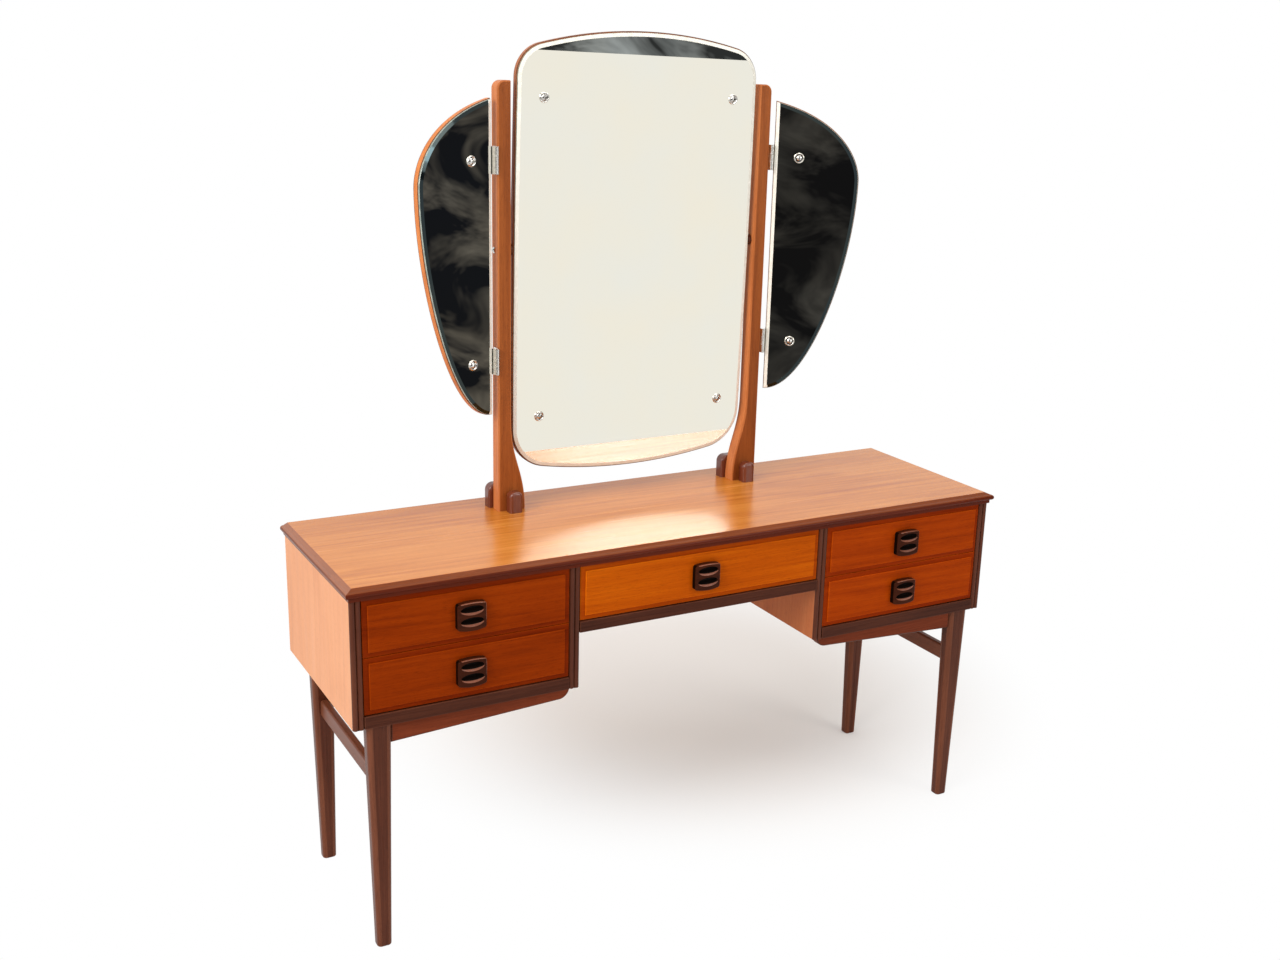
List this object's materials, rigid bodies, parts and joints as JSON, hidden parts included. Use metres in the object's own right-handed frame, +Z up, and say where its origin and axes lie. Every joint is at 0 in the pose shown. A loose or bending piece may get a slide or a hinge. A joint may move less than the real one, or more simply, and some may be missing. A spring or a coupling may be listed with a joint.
{
  "type": "dressing table",
  "caption": "Mid-century teak dressing table: drawer pedestals beside a knee space, tapered legs with arms and stretchers, and a tilting mirror between folding wing mirrors on posts.",
  "frame": {"origin": "on the floor, at the centre of the whole outline seen from above", "axes": "+X across the front to the viewer's right, +Y towards the back, +Z up"},
  "size_m": [1.405, 0.4124, 1.61],
  "materials": {
    "top_veneer": "satin oiled veneer",
    "edge_moulding": "satin",
    "panel_veneer": "satin oiled veneer",
    "front_veneer": "satin oiled veneer with a straight grain across",
    "dark_hardwood": "satin",
    "handle_wood": "satin",
    "carcass_ply": "plain plywood",
    "pale_hardwood": "sanded",
    "post_teak": "satin oiled",
    "mirror_back": "satin",
    "mirror_silver": "silvered plate glass with a bevelled rim",
    "hinge_nickel": "nickel plated",
    "screw_chrome": "polished"
  },
  "bodies": {
    "carcass": {"top_panel": "top_veneer", "moulding_front": "edge_moulding", "moulding_left": "edge_moulding", "moulding_right": "edge_moulding", "side_left": "panel_veneer", "side_right": "panel_veneer", "partition_left": "panel_veneer", "partition_right": "panel_veneer", "front_lippings": "dark_hardwood", "bottom_left": "carcass_ply", "bottom_right": "carcass_ply", "bottom_rail_left": "dark_hardwood", "bottom_rail_right": "dark_hardwood", "middle_rail": "dark_hardwood", "back_panels": "carcass_ply", "drawer_runners": "pale_hardwood", "leg_front_left": "dark_hardwood", "leg_front_right": "dark_hardwood", "leg_back_left": "dark_hardwood", "leg_back_right": "dark_hardwood", "arm_front_left": "dark_hardwood", "arm_front_right": "dark_hardwood", "arm_back_left": "dark_hardwood", "arm_back_right": "dark_hardwood", "stretcher_left": "dark_hardwood", "stretcher_right": "dark_hardwood", "post_left": "post_teak", "post_right": "post_teak", "front_blocks": "dark_hardwood", "back_blocks": "dark_hardwood", "hinge_leaves_posts": "hinge_nickel", "hinge_pins": "hinge_nickel"},
    "mirror": {"mirror_board": "mirror_back", "mirror_glass": "mirror_silver", "mirror_screws": "screw_chrome", "pivot_spacers": "dark_hardwood", "pivot_bolts": "screw_chrome"},
    "wing_left": {"wing_board_left": "mirror_back", "wing_glass_left": "mirror_silver", "wing_screws_left": "screw_chrome", "hinge_leaves_left": "hinge_nickel"},
    "wing_right": {"wing_board_right": "mirror_back", "wing_glass_right": "mirror_silver", "wing_screws_right": "screw_chrome", "hinge_leaves_right": "hinge_nickel"},
    "drawer_left_upper": {"drawer_front_left_upper": "front_veneer", "drawer_box_left_upper": "pale_hardwood", "handle_left_upper": "handle_wood"},
    "drawer_left_lower": {"drawer_front_left_lower": "front_veneer", "drawer_box_left_lower": "pale_hardwood", "handle_left_lower": "handle_wood"},
    "drawer_right_upper": {"drawer_front_right_upper": "front_veneer", "drawer_box_right_upper": "pale_hardwood", "handle_right_upper": "handle_wood"},
    "drawer_right_lower": {"drawer_front_right_lower": "front_veneer", "drawer_box_right_lower": "pale_hardwood", "handle_right_lower": "handle_wood"},
    "drawer_middle": {"drawer_front_middle": "front_veneer", "drawer_box_middle": "pale_hardwood", "handle_middle": "handle_wood"}
  },
  "joints": [
    {"name": "mirror_tilt", "type": "hinge", "parent": "carcass", "child": "mirror", "pos_m": [0, 0.12375, 1.209], "axis": [1, 0, 0], "range_deg": [-12, 12]},
    {"name": "wing_fold_left", "type": "hinge", "parent": "carcass", "child": "wing_left", "pos_m": [-0.3005, 0.09925, 1.209], "axis": [0, 0, 1], "range_deg": [-20, 75]},
    {"name": "wing_fold_right", "type": "hinge", "parent": "carcass", "child": "wing_right", "pos_m": [0.3005, 0.09925, 1.209], "axis": [0, 0, -1], "range_deg": [-35, 60]},
    {"name": "drawer_slide_left_upper", "type": "slide", "parent": "carcass", "child": "drawer_left_upper", "axis": [0, -1, 0], "range_m": [0, 0.26]},
    {"name": "drawer_slide_left_lower", "type": "slide", "parent": "carcass", "child": "drawer_left_lower", "axis": [0, -1, 0], "range_m": [0, 0.26]},
    {"name": "drawer_slide_right_upper", "type": "slide", "parent": "carcass", "child": "drawer_right_upper", "axis": [0, -1, 0], "range_m": [0, 0.26]},
    {"name": "drawer_slide_right_lower", "type": "slide", "parent": "carcass", "child": "drawer_right_lower", "axis": [0, -1, 0], "range_m": [0, 0.26]},
    {"name": "drawer_slide_middle", "type": "slide", "parent": "carcass", "child": "drawer_middle", "axis": [0, -1, 0], "range_m": [0, 0.26]}
  ]
}
